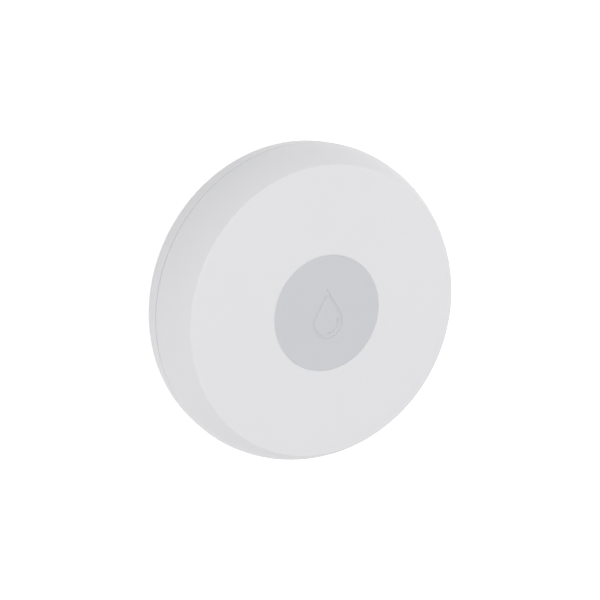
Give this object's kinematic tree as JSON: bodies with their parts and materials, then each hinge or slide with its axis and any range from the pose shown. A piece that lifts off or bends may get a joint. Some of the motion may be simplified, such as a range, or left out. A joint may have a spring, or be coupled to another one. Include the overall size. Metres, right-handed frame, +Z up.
{
  "type": "water leak sensor",
  "caption": "Low round wireless water leak sensor: domed-edge puck with a flush push button on its face, lift-off cover, and steel probe screws and rubber feet underneath.",
  "frame": {"origin": "on the floor under the centre of the puck, level with the bottoms of the feet", "axes": "+Z up out of the face, +Y to the tip of the drop mark, +X to its right"},
  "size_m": [0.065, 0.065, 0.0155],
  "materials": {
    "shell_white": "moulded, fine satin texture",
    "button_grey": "moulded, fine satin texture, mark sunk in it",
    "silicone_clear": "moulded silicone, matt",
    "seal_black": "moulded nitrile, matt",
    "foot_grey": "soft pad, matt",
    "label_white": "plain coated sheet, blank",
    "clamp_natural": "moulded, natural colour",
    "stainless": "machined, polished",
    "plated_steel": "zinc or nickel plated sheet",
    "tinned_metal": "tin plated",
    "board_green": "glass laminate under green solder mask",
    "radio_green": "thin laminate under dark solder mask",
    "black_moulding": "moulded, matt black",
    "plunger_black": "moulded, smooth black",
    "chip_epoxy": "moulded epoxy, matt",
    "cell_seal": "moulded, natural colour",
    "cell_fill": "pressed powder",
    "light_lens": "clear resin over yellow phosphor",
    "capacitor_tan": "fired ceramic with tinned ends",
    "resistor_black": "glazed film on ceramic with tinned ends"
  },
  "bodies": {
    "base": {"base_shell": "shell_white", "seal_ring": "seal_black", "rubber_feet": "foot_grey", "blank_label": "label_white", "probe_screws": "stainless", "probe_seals": "seal_black", "probe_nuts": "stainless", "circuit_board": "board_green", "switch_housing": "black_moulding", "switch_cover_plate": "plated_steel", "switch_dome": "stainless", "switch_terminals": "tinned_metal", "battery_holder": "black_moulding", "battery_positive_clips": "plated_steel", "battery_negative_plate": "plated_steel", "cell_can": "stainless", "cell_gasket": "cell_seal", "cell_cap": "stainless", "cell_core": "cell_fill", "radio_board": "radio_green", "radio_shield": "tinned_metal", "radio_chip": "chip_epoxy", "sensing_chip": "chip_epoxy", "voltage_regulator": "chip_epoxy", "chip_leads": "tinned_metal", "status_lights": "light_lens", "crystal": "tinned_metal", "capacitors": "capacitor_tan", "resistors": "resistor_black"},
    "cover": {"cover_shell": "shell_white", "button_membrane": "silicone_clear", "membrane_clamp_ring": "clamp_natural", "clamp_ring_screws": "plated_steel"},
    "button": {"button_cap": "button_grey"},
    "plunger": {"switch_plunger": "plunger_black"}
  },
  "joints": [
    {"name": "cover_lift", "type": "slide", "parent": "base", "child": "cover", "axis": [0, 0, 1], "range_m": [0, 0.03]},
    {"name": "button_press", "type": "slide", "parent": "cover", "child": "button", "axis": [0, 0, -1], "range_m": [0, 0.0005], "stiffness_N_per_m": 2000, "deforming": ["button_membrane"]},
    {"name": "plunger_press", "type": "slide", "parent": "base", "child": "plunger", "axis": [0, 0, -1], "range_m": [0, 0.00025], "deforming": ["switch_dome"]}
  ],
  "couplings": [
    {"joint": "plunger_press", "follows": "button_press", "ratio": 0.5}
  ]
}
